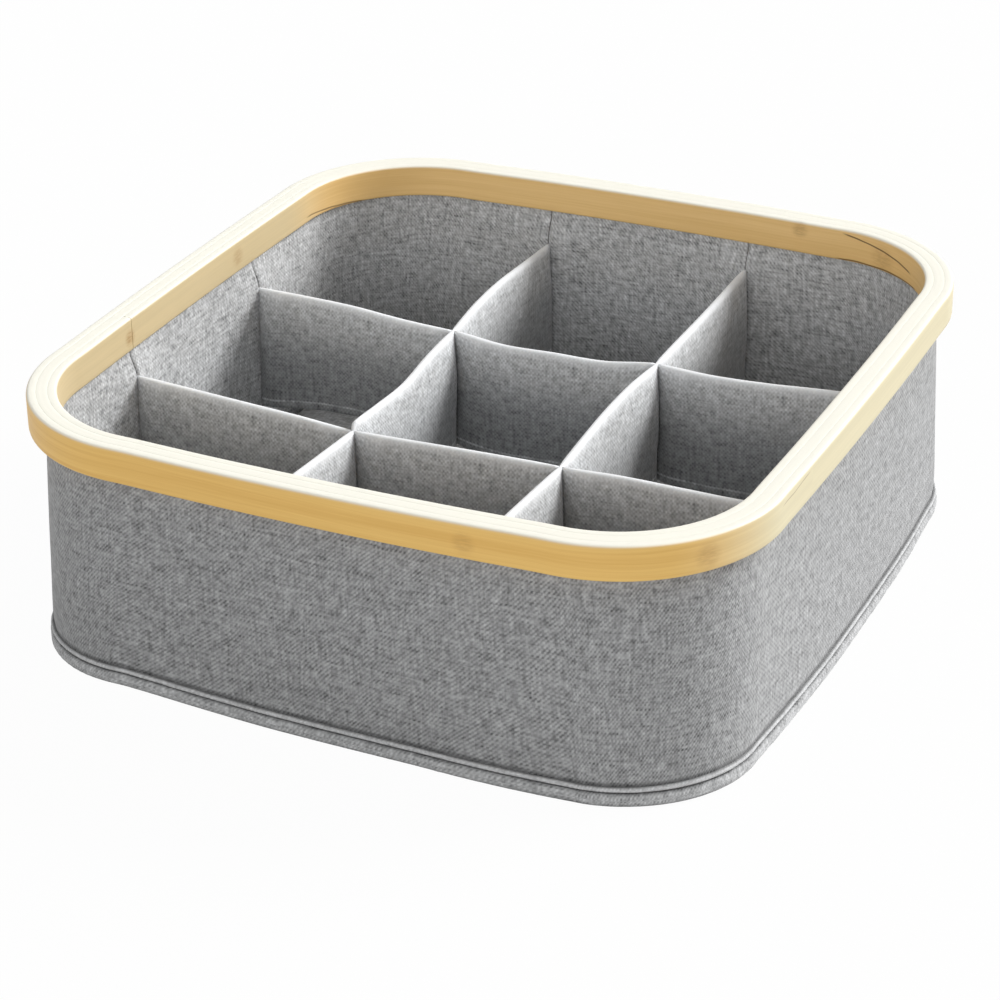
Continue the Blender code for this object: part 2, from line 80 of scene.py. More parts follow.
# Dividers, as in the CAD part: their places as shares of the inside, and their tops as shares of their height
DIVIDER_HEIGHT = 0.0820
DIVIDER_HANG = 0.0550
LEFT_COLUMN = [share * INSIDE_HALF_WIDTH for share in (-0.310, -0.298, -0.333, -0.333)]
RIGHT_COLUMN = [share * INSIDE_HALF_WIDTH for share in (0.325, 0.330, 0.317, 0.325)]
ROWS = [share * INSIDE_HALF_DEPTH for share in (-0.357, 0.323)]
LEFT_COLUMN_TOPS = ((1.024, 1.012, 1.000, 0.985, 0.973), (1.010, 0.977, 0.950, 0.973, 0.978),
                    (0.978, 1.007, 1.015, 1.006, 1.000))
RIGHT_COLUMN_TOPS = ((1.044, 1.029, 1.023, 1.012, 1.000), (1.000, 1.017, 1.022, 1.017, 1.000),
                     (1.000, 1.009, 1.015, 1.028, 1.044))
FRONT_ROW_TOPS = ((1.044, 1.029, 1.012, 0.995, 0.973), (0.973, 0.980, 0.989, 0.996, 1.000),
                  (1.000, 1.012, 1.011, 1.010, 1.020))
BACK_ROW_TOPS = ((1.026, 1.024, 1.015, 0.990, 0.978), (0.978, 0.948, 0.954, 0.959, 1.000),
                 (1.000, 0.989, 1.000, 1.023, 1.040))
STRAIGHT = (0.0, 0.0, 0.0, 0.0, 0.0)
LEFT_COLUMN_SHIFTS = (STRAIGHT, STRAIGHT, (0.0, -0.0008, -0.0011, -0.0005, 0.0))
RIGHT_COLUMN_SHIFTS = (STRAIGHT, (0.0, -0.0003, -0.0009, -0.0009, 0.0), STRAIGHT)
# The photo's arch under the back left divider, a little lower at the wall than the CAD part's
BACK_LEFT_LIFTS = (-0.0036, 0.0000, 0.0022, 0.0018, 0.0)
# How far the dividers draw the lining in at the right and left sides, and at the back and front, and how far
# along it that reaches, and how far their ends go into its seams
SEAM_PULLS = (0.0044, 0.0054)
PULL_REACH = 0.034
END_IN_SEAM = 0.0012

MERGE = 1e-7


# The plan outline, followed by its length

def ease(value):
    value = min(max(value, 0.0), 1.0)
    return value * value * (3 - 2 * value)


def smooth_between(values, share):
    """A curve through evenly spaced values."""
    spans = len(values) - 1
    index = min(max(int(share * spans), 0), spans - 1)
    t = share * spans - index
    before = values[max(index - 1, 0)]
    low, high = values[index], values[index + 1]
    after = values[min(index + 2, spans)]
    return 0.5 * (2 * low + (high - before) * t + (2 * before - 5 * low + 4 * high - after) * t ** 2
                  + (3 * low - before - 3 * high + after) * t ** 3)


def corner_radius(height):
    share = min(height / RIM_BOTTOM, 1)
    return BASE_CORNER + (RIM_CORNER - BASE_CORNER) * share


# Each side, anticlockwise from the right: half distance out, half length, bow at the rim, seams, foot
SIDES = ((HALF_WIDTH, HALF_DEPTH, DEPTH_SIDES_BOW, (ROWS[0], ROWS[1]), RIGHT_FOOT),
         (HALF_DEPTH, HALF_WIDTH, WIDTH_SIDES_BOW, (-RIGHT_COLUMN[3], -LEFT_COLUMN[3]), PLAIN_FOOT),
         (HALF_WIDTH, HALF_DEPTH, DEPTH_SIDES_BOW, (-ROWS[1], -ROWS[0]), PLAIN_FOOT),
         (HALF_DEPTH, HALF_WIDTH, WIDTH_SIDES_BOW, (LEFT_COLUMN[0], RIGHT_COLUMN[0]), FRONT_FOOT))
STRETCHES = 16
FULL_TURN = float(STRETCHES)


def foot_sway(side, along, height):
    """How far a side stands out of its plain bow: most at the table, and nothing at the rim."""
    share = (along / SIDES[side][1] + 1) / 2
    return smooth_between(SIDES[side][4], share) * (1 - min(height / RIM_BOTTOM, 1))


def reach(side, along, height):
    """How far out a bowed side stands at a place along it, easing into the corners."""
    half_out, half_along, top_bow = SIDES[side][:3]
    bow = BASE_BOW + (top_bow - BASE_BOW) * min(height / RIM_BOTTOM, 1)
    share = along / (half_along - corner_radius(height))
    return half_out + bow * (1 - share ** 2) * (1 - share ** 8) + foot_sway(side, along, height)


def side_place(turn, height):
    """The side that a turn lies on, and the place along it or None in the corner after it."""
    side, part = divmod(int(turn) % STRETCHES, 4)
    if part == 3:
        return side, None
    half_along, seams = SIDES[side][1], SIDES[side][3]
    radius = corner_radius(height)
    stops = (radius - half_along, *seams, half_along - radius)
    return side, stops[part] + (stops[part + 1] - stops[part]) * (turn - int(turn))


def outline_point(turn, inset, height):
    """A point of the outline. Turn counts stretches: three between the seams of each side, then its corner."""
    side, along = side_place(turn, height)
    if along is None:
        half_out, half_along = SIDES[side][:2]
        radius = corner_radius(height)
        angle = (turn - int(turn)) * pi / 2
        outer_out = half_out - radius + radius * cos(angle)
        outer_along = half_along - radius + radius * sin(angle)
        out = outer_out - inset * cos(angle) + foot_sway(side, outer_along, height)
        along = outer_along - inset * sin(angle) + foot_sway((side + 1) % 4, -outer_out, height)
    else:
        out = reach(side, along, height) - inset
    for _ in range(side):
        out, along = -along, out
    return out, along


def seam_pull(side, along, height):
    """How far the dividers draw the lining inwards, most at their seams."""
    near = min(abs(along - seam) for seam in SIDES[side][3])
    held = ease((RIM_BOTTOM + 0.002 - height) / 0.016) * ease((height - FLOOR_TOP) / 0.024)
    return SEAM_PULLS[side % 2] * held * (1 - sin(min(near / PULL_REACH, 1) * pi / 2))


def measured_turns(steps=24):
    """Turns and the outline's length up to each of them, measured at the rim."""
    turns = [index / steps for index in range(STRETCHES * steps + 1)]
    points = [outline_point(turn, 0, BASKET_HEIGHT) for turn in turns]
    lengths = [0.0]
    for before, after in zip(points, points[1:]):
        lengths.append(lengths[-1] + hypot(after[0] - before[0], after[1] - before[1]))
    return turns, lengths


TURNS, LENGTHS = measured_turns()
ROUND = LENGTHS[-1]


def turn_at(length):
    return float(np.interp(length % ROUND, LENGTHS, TURNS))


def length_at(turn):
    laps, rest = divmod(turn, FULL_TURN)
    return laps * ROUND + float(np.interp(rest, TURNS, LENGTHS))


# Meshes

def bent_grid(columns, rows, place, weave):
    """A grid bent to place(column, row), with weave(column, row) as its UV, joined where edges meet."""
    bm = bmesh.new()
    bmesh.ops.create_grid(bm, x_segments=columns, y_segments=rows, size=1)
    layer = bm.loops.layers.uv.new("weave")
    spots = {}
    for vert in bm.verts:
        spots[vert] = (round((vert.co.x + 1) / 2 * columns), round((vert.co.y + 1) / 2 * rows))
    for face in bm.faces:
        face.smooth = True
        for loop in face.loops:
            loop[layer].uv = weave(*spots[loop.vert])
    for vert, spot in spots.items():
        vert.co = place(*spot)
    bmesh.ops.remove_doubles(bm, verts=bm.verts, dist=MERGE)
    return bm


def add_piece(name, bm, finish, nodes):
    """A finished piece that rides on the basket and stands for its CAD nodes."""
    mesh = bpy.data.meshes.new(name)
    bm.to_mesh(mesh)
    bm.free()
    piece = bpy.data.objects.new(name, mesh)
    bpy.context.scene.collection.objects.link(piece)
    mesh.materials.append(finish)
    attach(piece, "root")
    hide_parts(*nodes)
    return piece


def thicken(piece, thickness):
    shell = piece.modifiers.new("cloth thickness", "SOLIDIFY")
    shell.thickness = thickness
    shell.offset = -1
    shell.use_even_offset = True


def wander(x, y, scale, seed):
    """A smooth value between about -1 and 1 that changes over the scale."""
    return noise.noise(Vector((x / scale, y / scale, seed)))


def wander_round(length, height, scale, seed):
    """The same kind of value for a place round the outline, without a break where the round closes."""
    x, y = outline_point(turn_at(length), 0, BASKET_HEIGHT)
    return noise.noise(Vector((x / scale, y / scale, height / scale + seed)))


# Shader nodes

class Flow:
    """A number or colour on its way between two shader nodes."""

    def __init__(self, recipe, socket):
        self.recipe = recipe
        self.socket = socket

    def math(self, operation, *values):
        return self.recipe.node("Math", {"operation": operation}, dict(enumerate(values)))

    def __add__(self, other):
        return self.math("ADD", self, other)

    def __radd__(self, other):
        return self.math("ADD", other, self)

    def __sub__(self, other):
        return self.math("SUBTRACT", self, other)

    def __rsub__(self, other):
        return self.math("SUBTRACT", other, self)

    def __mul__(self, other):
        return self.math("MULTIPLY", self, other)

    def __rmul__(self, other):
        return self.math("MULTIPLY", other, self)

    def sine(self):
        return self.math("SINE", self)

    def size(self):
        return self.math("ABSOLUTE", self)

    def whole(self):
        return self.math("FLOOR", self)

    def least(self, other):
        return self.math("MINIMUM", self, other)

    def most(self, other):
        return self.math("MAXIMUM", self, other)

    def ramp(self, low, high, start=0.0, end=1.0):
        """Start up to low, end from high on, with an eased step between."""
        return self.recipe.node("MapRange", {"interpolation_type": "SMOOTHSTEP"},
                                {0: self, 1: low, 2: high, 3: start, 4: end})


class Recipe:
    """One material, its nodes and what it feeds to its shader."""

    def __init__(self, name, constants):
        self.material = bpy.data.materials.new(name)
        self.material.use_nodes = True
        self.tree = self.material.node_tree
        self.shader = self.tree.nodes["Principled BSDF"]
        for socket, value in constants.items():
            self.shader.inputs[socket].default_value = value

    def node(self, kind, settings, values, output=0):
        made = self.tree.nodes.new("ShaderNode" + kind)
        for key, value in settings.items():
            setattr(made, key, value)
        for key, value in values.items():
            if isinstance(value, Flow):
                self.tree.links.new(value.socket, made.inputs[key])
            else:
                made.inputs[key].default_value = value
        return Flow(self, made.outputs[output])

    def feed(self, socket, flow):
        self.tree.links.new(flow.socket, self.shader.inputs[socket])

    def uv(self):
        """The piece's own map, in metres: along the cloth or strip, and up or across it."""
        spot = self.node("UVMap", {"uv_map": "weave"}, {})
        return (self.node("SeparateXYZ", {}, {0: spot}),
                self.node("SeparateXYZ", {}, {0: spot}, 1))

    def clouds(self, x, y, detail=0.0, roughness=0.5):
        """Smooth noise about 0.5 over two coordinates."""
        spot = self.node("CombineXYZ", {}, {0: x, 1: y})
        return self.node("TexNoise", {"noise_dimensions": "2D"},
                         {"Vector": spot, "Scale": 1.0, "Detail": detail, "Roughness": roughness})

    def blend(self, share, first, second):
        return self.node("Mix", {"data_type": "RGBA"}, {0: share, 6: first, 7: second}, 2)

    def scaled(self, colour, value):
        """A colour made lighter or darker by a number."""
        return self.node("VectorMath", {"operation": "SCALE"}, {0: colour, 3: value})

    def raise_relief(self, height, distance, strength):
        made = self.tree.nodes.new("ShaderNodeBump")
        made.inputs["Strength"].default_value = strength
        made.inputs["Distance"].default_value = distance
        self.tree.links.new(height.socket, made.inputs["Height"])
        self.tree.links.new(made.outputs[0], self.shader.inputs["Normal"])


# Spacing of the cloth's threads in metres
THREAD_ALONG = 0.00094
THREAD_UP = 0.00101
# How often the threads change, per metre
WAVER = 70.0
MELANGE = 110.0
FUZZ_FINE = 620.0
FUZZ_LONG = 210.0
SLUB_FINE = 680.0
PATCHES = 45.0
# Where round the basket the diagonal of the weave turns over
PULL_PHASE = -2.627
THREAD_RELIEF = 0.00013
PALEST_CLOTH = 0.95
DARKEST_SHARE = 0.3
# A divider's cloth, measured from one lower edge: the place of its fold, and how far each side hangs from it
FOLD_LINE = 0.0575
SIDE_CLOTH = 0.0530


def woven_threads(recipe, along, up):
    """The height of the weave's threads, and the melange tone of the thread that lies on top."""
    warp = along * (1 / THREAD_ALONG) + recipe.clouds(along * WAVER, up * WAVER) * 1.2
    weft = up * (1 / THREAD_UP) + recipe.clouds(along * WAVER + 31.0, up * WAVER) * 1.2
    rising = ((warp - weft) * pi + pi / 2).sine()
    falling = ((warp + weft) * pi + pi / 2).sine()
    pulled = (along * (4 * pi / ROUND) + PULL_PHASE).sine() * 0.35 + 0.25
    over = (rising - falling) * 0.5 + (rising + falling) * pulled * 0.5
    top = over.ramp(-0.8, 0.8)
    warp_tone = recipe.clouds(warp.whole() * 13.7, up * MELANGE, 1.0)
    weft_tone = recipe.clouds(weft.whole() * 13.7 + 57.0, along * MELANGE, 1.0)
    return over, top, warp_tone * 0.5 + weft_tone * 0.5 + (warp_tone - weft_tone) * (top - 0.5)


def streaks(recipe, x, y):
    """Thin streaks: 1 in their middles, 0 between them."""
    return recipe.clouds(x, y, 1.0).ramp(0.52, 0.80)


def woven_cloth(name, tone, weave, threads, slubs, light_and_shade_lines=(), fold=None, cool=0.01):
    """Plain weave of grey melange threads, thicker, paler or darker in places.

    Each line is a place up the cloth, how far it reaches and its factor: painted light where it makes the
    cloth paler, painted shade where it makes it darker. The fold is a place, its reach and how far its threads
    are turned
    to the palest tone: a painted highlight."""
    recipe = Recipe(name, {"Roughness": 0.9, "Sheen Weight": 0.45, "Sheen Roughness": 0.4,
                           "Specular IOR Level": 0.2})
    along, up = recipe.uv()
    over, top, thread_tone = woven_threads(recipe, along, up)
    fuzz_up = recipe.clouds(along * FUZZ_FINE, up * FUZZ_LONG, 1.0)
    fuzz_across = recipe.clouds(along * FUZZ_LONG + 7.0, up * FUZZ_FINE, 1.0)
    pale_up = streaks(recipe, along * SLUB_FINE + 9.0, up * 60.0)
    pale_across = streaks(recipe, along * 70.0, up * SLUB_FINE + 5.0)
    dark_up = streaks(recipe, along * SLUB_FINE + 77.0, up * 70.0)
    dark_across = streaks(recipe, along * 75.0 + 40.0, up * SLUB_FINE + 25.0)
    patch = recipe.clouds(along * PATCHES, up * PATCHES, 2.0, 0.6)
    shade = (top - 0.5) * (0.55 * weave) + (thread_tone - 0.5) * threads + (patch - 0.5) * 0.10
    shade = shade + (fuzz_up + fuzz_across - 1.0) * (0.72 * slubs)
    shade = shade + (pale_up * 1.3 + pale_across - dark_up - dark_across * 1.5) * (0.11 * slubs)
    shade = (shade + 1.0).most(DARKEST_SHARE) * tone
    # Painted light and painted shade: the cloth made paler or darker along lines up it
    for place, width, factor in light_and_shade_lines:
        shade = shade * (up - place).size().ramp(0.0, width, factor, 1.0)
    # Painted highlight: the fold turned towards the palest tone
    if fold:
        place, width, share = fold
        shade = shade + (PALEST_CLOTH - shade) * (up - place).size().ramp(0.0, width, share, 0.0)
    shade = shade.least(PALEST_CLOTH)
    colour = recipe.node("CombineColor", {}, {0: shade * (1 - cool), 1: shade, 2: shade * (1 + cool)})
    recipe.feed("Base Color", colour)
    recipe.raise_relief(over * (0.5 * weave) + thread_tone * 0.5 + fuzz_up * 0.3 + fuzz_across * 0.3,
                        THREAD_RELIEF, 0.8)
    return recipe.material


def near_length(x, y):
    """The length round the outline at which it passes closest to a point."""
    steps = 4096
    lengths = [ROUND * step / steps for step in range(steps)]

    def distance(length):
        here = outline_point(turn_at(length), 0, BASKET_HEIGHT)
        return hypot(here[0] - x, here[1] - y)

    return min(lengths, key=distance)


def on_strip(start, x, y):
    """The length along a strip that starts at a length round the outline, where it passes a point."""
    length = near_length(x, y)
    return length + ROUND if length < start else length


def split(start, first, last, half_width, strength):
    """A split in a strip's face, between two points of x, y and height."""
    ends = [(on_strip(start, x, y), height) for x, y, height in (first, last)]
    return (*ends, half_width, strength)


# Colours of the bamboo
TAN = (0.83, 0.535, 0.163, 1.0)
DEEP_TAN = (0.74, 0.44, 0.115, 1.0)
INNER_TAN = (0.93, 0.63, 0.265, 1.0)
INNER_DEEP_TAN = (0.84, 0.54, 0.205, 1.0)
# Paler tones painted where the strips face the key light: painted light
PAINTED_LIGHT_TAN = (0.66, 0.59, 0.39)
PAINTED_LIGHT_INNER_TAN = (0.70, 0.56, 0.325)
SAWN = (0.92, 0.90, 0.80)
STAIN = (0.36, 0.17, 0.045, 1.0)
SPLIT = (0.16, 0.075, 0.025, 1.0)


def bamboo(name, tan, deep, painted_light_tone=SAWN, painted_light_stretches=(), stains=(), splits=()):
    """Bamboo strip: fine fibres along it, stretches painted paler where it faces the key light (painted
    light), stains at the culm's nodes, splits and sawn edges.

    A stretch of painted light is the lengths where it starts, is full, begins to end and is over. A stain is
    its middle, radius and strength.
    radius and strength."""
    recipe = Recipe(name, {"Coat Weight": 0.15, "Coat Roughness": 0.3, "Specular IOR Level": 0.3})
    along, across = recipe.uv()
    drift = recipe.clouds(along * 9.0, across * 60.0, 1.0)
    fibre = recipe.clouds(along * 45.0, across * 3800.0 + drift * 2.0, 2.0, 0.6)
    vein = recipe.clouds(along * 11.0 + 4.0, across * 900.0 + drift * 3.0, 1.0)
    band = recipe.clouds(along * 5.0 + 8.0, across * 220.0, 1.0)
    mix = (fibre - 0.5) * 0.45 + (vein - 0.5) * 0.6 + (band - 0.5) * 0.7 + 0.5
    colour = recipe.blend(mix.ramp(0.15, 0.85), tan, deep)
    painted_light_colour = recipe.scaled(painted_light_tone, mix.ramp(0.0, 1.0, 1.04, 0.94))
    # Stretches painted paler where the strip faces the key light: painted light
    for start, full, last, end in painted_light_stretches:
        colour = recipe.blend(along.ramp(start, full) * along.ramp(last, end, 1.0, 0.0), colour, painted_light_colour)
    edge = recipe.node("Attribute", {"attribute_name": "sawn_edge"}, {}, 2)
    cut = recipe.scaled(SAWN, mix.ramp(0.1, 0.9, 1.01, 0.985))
    colour = recipe.blend(edge, colour, cut)
    place = recipe.node("TexCoord", {}, {}, 3)
    ragged = recipe.clouds(along * 260.0, across * 1300.0, 2.0).ramp(0.3, 0.65, 0.45, 1.0)
    for spot, radius, strength in stains:
        distance = recipe.node("VectorMath", {"operation": "DISTANCE"}, {0: place, 1: spot}, 1)
        stain = distance.ramp(radius * 0.25, radius, strength, 0.0)
        colour = recipe.blend(stain * ragged, colour, STAIN)
    height = recipe.node("SeparateXYZ", {}, {0: place}, 2)
    waver = (recipe.clouds(along * 60.0, across * 90.0, 1.0) - 0.5) * 0.0010
    for (first, low), (last, high), half_width, strength in splits:
        slope = (high - low) / (last - first)
        away = ((along - first) * slope + low + waver - height).size()
        line = away.ramp(half_width * 0.4, half_width, 1.0, 0.0)
        span = along.ramp(first - 0.001, first + 0.004) * along.ramp(last - 0.004, last + 0.001, 1.0, 0.0)
        colour = recipe.blend(line * span * strength, colour, SPLIT)
    recipe.feed("Base Color", colour)
    recipe.feed("Roughness", 0.5 + (fibre - 0.5) * 0.2)
    recipe.raise_relief(fibre * 0.6 + vein * 0.4, 0.00005, 0.5)
    return recipe.material


# Bamboo hoop

def rounded(corners, steps=4):
    """Profile points (inset, height) through corners that each have a radius, 0 for a sharp one."""
    points = []
    for index, (inset, height, radius) in enumerate(corners):
        here = Vector((inset, height))
        if radius == 0:
            points.append(here)
            continue
        back = (Vector(corners[index - 1][:2]) - here).normalized()
        onward = (Vector(corners[(index + 1) % len(corners)][:2]) - here).normalized()
        centre = here + radius * (back + onward)
        for step in range(steps + 1):
            angle = pi / 2 * step / steps
            points.append(centre - radius * (onward * cos(angle) + back * sin(angle)))
    return points


def spread(points, longest):
    """Adds points so that no step of a closed profile is longer than this."""
    filled = []
    for index, point in enumerate(points):
        after = points[(index + 1) % len(points)]
        steps = max(1, ceil((after - point).length / longest))
        filled += [point.lerp(after, step / steps) for step in range(steps)]
    return filled


# Steps of the strips' meshes, how far a top edge wanders, and how far down from the top the sawing shows
PROFILE_STEP = 0.0022
STRIP_STEP = 0.0025
TOP_WANDERS = 0.00008
SAWN_DEPTH = 0.0011


def strip_round(name, corners, start, gap, lean, finish, node):
    """A strip bent once round the outline but for a gap, its ends leaning by lean times the inset."""
    end = start + ROUND - gap
    profile = spread(rounded(corners), PROFILE_STEP)
    columns = ceil((end - start) / STRIP_STEP)
    around = [0.0]
    for index, point in enumerate(profile):
        around.append(around[-1] + (profile[(index + 1) % len(profile)] - point).length)

    def place(column, row):
        inset, height = profile[row % len(profile)]
        length = start + (end - start) * column / columns + lean * inset
        settle = TOP_WANDERS * wander_round(length, 0.3, 0.06, 2.0)
        x, y = outline_point(turn_at(length), inset, height)
        return x, y, height + (settle if height > RIM_BOTTOM + RIM_HEIGHT / 2 else 0)

    def weave(column, row):
        return start + (end - start) * column / columns, around[row]

    bm = bent_grid(columns, len(profile), place, weave)
    edges = [edge for edge in bm.edges if edge.is_boundary]
    if edges:
        for edge in edges:
            edge.smooth = False
        bmesh.ops.holes_fill(bm, edges=edges)
    bmesh.ops.recalc_face_normals(bm, faces=bm.faces)
    piece = add_piece(name, bm, finish, [node])
    sawn = piece.data.attributes.new("sawn_edge", "FLOAT", "POINT")
    for index, vert in enumerate(piece.data.vertices):
        sawn.data[index].value = ease((vert.co.z - (BASKET_HEIGHT - SAWN_DEPTH)) / 0.0010)


# Turns of the outline at which the strips' ends meet, and the length of the outer strip's scarf joint
SCARF = 0.678
CORE_BUTT = 4.652
INNER_BUTT = 10.016
SCARF_LENGTH = 0.030
# How far a strip's edges and its glued faces are rounded and let in
SHARP = 0.00012
GLUED = 0.00015
# A stretch of painted light that reaches past the start or the end of any strip
FROM_START = (0.0, 0.001)
TO_END = (9.0, 9.1)


def outer_bamboo(scarf):
    # The right side and the corners beside it are painted paler, as the key light falls on them: painted light
    painted_light_stretches = ((*FROM_START, length_at(4.0), length_at(5.2)), (length_at(15.4), ROUND - 0.001, *TO_END))
    stains = (((0.060, -0.1687, 0.1046), 0.006, 0.30), ((0.146, -0.1415, 0.1046), 0.007, 0.35))
    splits = (split(scarf, (0.160, -0.102, 0.1087), (0.160, -0.073, 0.1101), 0.0003, 0.55),)
    return bamboo("bamboo outer strip", TAN, DEEP_TAN, PAINTED_LIGHT_TAN, painted_light_stretches, stains, splits)


def inner_bamboo(butt):
    # The left side's inner face and its corners are painted paler, as the key light falls on them: painted
    # light
    painted_light_stretches = ((*FROM_START, length_at(12.0), length_at(12.8)),
              (length_at(7.7) + ROUND, length_at(8.5) + ROUND, *TO_END))
    stains = (((-0.148, 0.035, 0.105), 0.006, 0.35), ((0.074, 0.1555, 0.109), 0.005, 0.4),
              ((-0.1475, -0.0585, 0.104), 0.005, 0.6), ((0.114, 0.147, 0.1035), 0.009, 0.35))
    splits = (split(butt, (0.132, 0.138, 0.1036), (0.0945, 0.1546, 0.111), 0.0005, 0.9),
              split(butt, (0.136, 0.134, 0.0987), (0.091, 0.155, 0.0985), 0.0005, 0.8),
              split(butt, (-0.134, 0.136, 0.0980), (-0.147, 0.098, 0.1006), 0.0005, 0.7))
    return bamboo("bamboo inner strip", INNER_TAN, INNER_DEEP_TAN, PAINTED_LIGHT_INNER_TAN, painted_light_stretches, stains, splits)


def make_hoop():
    top, bottom, notch = BASKET_HEIGHT, RIM_BOTTOM, RIM_BOTTOM + GROOVE_DEPTH
    scarf, core_butt, butt = length_at(SCARF), length_at(CORE_BUTT), length_at(INNER_BUTT)
    face, back = PLY_FACES[0], PLY_BACKS[0] + GLUED
    strip_round("outer_bamboo_strip",
                [(face, bottom, 0.0012), (back, bottom, SHARP), (back, top, SHARP), (face, top, 0.0014)],
                scarf, 0.00002, SCARF_LENGTH / (back - face), outer_bamboo(scarf), "rim_outer_ply")
    face, back = PLY_FACES[1] - GLUED, PLY_BACKS[1] + GLUED
    strip_round("core_bamboo_strip",
                [(face, bottom, SHARP), (GROOVE[0], bottom, SHARP), (GROOVE[0], notch, 0), (back, notch, 0),
                 (back, top, SHARP), (face, top, SHARP)],
                core_butt, 0.00005, 0.0, bamboo("bamboo core strip", TAN, DEEP_TAN),
                "rim_middle_ply")
    face, back = PLY_FACES[2] - GLUED, PLY_BACKS[2]
    strip_round("inner_bamboo_strip",
                [(GROOVE[1], bottom, SHARP), (back, bottom, 0.0010), (back, top, 0.0012), (face, top, SHARP),
                 (face, notch, 0), (GROOVE[1], notch, 0)],
                butt, 0.0003, 0.0, inner_bamboo(butt), "rim_inner_ply")


# Cover, lining and base

def upright(lengths, heights, place_inset, outward):
    """An upright sheet along the outline that faces outwards or inwards."""
    columns, rows = len(lengths) - 1, len(heights) - 1

    def step(column):
        return column if outward else columns - column

    def place(column, row):
        length, height = lengths[step(column)], heights[row]
        x, y = outline_point(turn_at(length), place_inset(length, height), height)
        return x, y, height

    def weave(column, row):
        return lengths[step(column)], heights[row]

    return bent_grid(columns, rows, place, weave)


def even(low, high, longest):
    count = max(1, ceil((high - low) / longest))
    return [low + (high - low) * step / count for step in range(count + 1)]


# The turn at which the cover's ends are joined, and how far cloths billow, pucker and turn in, in metres
COVER_JOINT = 5.5
COVER_BILLOW = 0.00035
COVER_PINCH = 0.0005
LINING_BILLOW = 0.0005
LINING_PUCKER = 0.0004
SEAM_TURNING = 0.0015


def make_cover(cloth):
    """A band joined at the middle of the back, tucked behind the piping below and into the rim above."""
    heights = [BEAD_BOTTOM, COVER_BOTTOM - 0.001, COVER_BOTTOM, COVER_BOTTOM + 0.001]
    heights += even(COVER_BOTTOM + 0.002, WALL_TOP, 0.0025)
    start = length_at(COVER_JOINT)

    def inset(length, height):
        billow = 0.5 + wander_round(length, height, 0.055, 1.0)
        billow += 0.35 * wander_round(length, height, 0.022, 4.0)
        free = ease((RIM_BOTTOM - height) / 0.02) * ease((height - COVER_BOTTOM) / 0.01)
        pinch = COVER_PINCH * (1 - ease((height - COVER_BOTTOM) / 0.0035))
        return COVER_FACE - COVER_BILLOW * max(billow, 0) * free + pinch

    bm = upright(even(start, start + ROUND, 0.0026), heights, inset, True)
    piece = add_piece("outer_cover_cloth", bm, cloth, ["outer_cover"])
    thicken(piece, CLOTH)
    return piece


def make_lining(cloth):
    """Eight panels, drawn in and turned under at their seams, a little full between them."""
    panels = {"lining_right_middle": (1, 2), "lining_back_right_corner": (2, 5), "lining_back_middle": (5, 6),
              "lining_back_left_corner": (6, 9), "lining_left_middle": (9, 10),
              "lining_front_left_corner": (10, 13), "lining_front_middle": (13, 14),
              "lining_front_right_corner": (14, 17)}
    heights = even(FLOOR_TOP - 0.0008, WALL_TOP, 0.0022)
    made = []
    for number, (node, (first, last)) in enumerate(panels.items()):
        start, end = length_at(first), length_at(last)
        close = [0.0001, 0.0004, 0.0008, 0.0013, 0.002]
        lengths = [start + step for step in close] + even(start + 0.003, end - 0.003, 0.0022)
        lengths += [end - step for step in reversed(close)]

        def inset(length, height):
            edge = min(length - start, end - length)
            side, along = side_place(turn_at(length), height)
            pull = 0.0 if along is None else seam_pull(side, along, height)
            held = ease((height - FLOOR_TOP) / 0.012) * ease((RIM_BOTTOM - height) / 0.010)
            pucker = LINING_PUCKER * wander(length * 0.4, height, 0.006, 7.0 + number) * exp(-edge / 0.006)
            billow = LINING_BILLOW * (0.6 + wander(length, height, 0.04, 3.0)) * ease(edge / 0.012)
            turned = SEAM_TURNING * exp(-edge / 0.0011) * ease((RIM_BOTTOM + 0.001 - height) / 0.004)
            return LINING_FACE + pull + (billow + pucker) * held - turned

        bm = upright(lengths, heights, inset, False)
        piece = add_piece(node.replace("lining", "lining_cloth"), bm, cloth, [node])
        thicken(piece, CLOTH)
        made.append((piece, end - start))
    return made


DISC_RINGS = 46
DISC_STEP = 0.005
FLOOR_SWELL = 0.0005
BASE_SWELL = 0.0003


def disc(name, inset, height, facing_up, swell, cloth, node):
    """A cloth that fills the outline, made of rings that close at its middle."""
    edge = [outline_point(turn_at(length), inset, height) for length in even(0, ROUND, DISC_STEP)]

    def spot(column, row):
        share = 1 - row / DISC_RINGS
        x, y = edge[column if facing_up else len(edge) - 1 - column]
        return x * share, y * share

    def place(column, row):
        x, y = spot(column, row)
        return x, y, height + swell(x, y, row / DISC_RINGS)

    bm = bent_grid(len(edge) - 1, DISC_RINGS, place, spot)
    piece = add_piece(name, bm, cloth, [node])
    thicken(piece, CLOTH)
    return piece


def make_base(floor_cloth, base_cloth):
    def floor_swell(x, y, inward):
        return FLOOR_SWELL * (0.5 + wander(x, y, 0.05, 5.0)) * ease(inward * 12)

    def base_swell(x, y, inward):
        return BASE_SWELL * (0.5 + 0.5 * wander(x, y, 0.05, 6.0)) * ease(inward * 12)

    floor = disc("floor_cloth", LINING_FACE + GAP, FLOOR_TOP, True, floor_swell, floor_cloth,
                 "floor_lining")
    base = disc("base_cloth", COVER_BACK + GAP, 0.0, False, base_swell, base_cloth, "base_cover")
    return floor, base


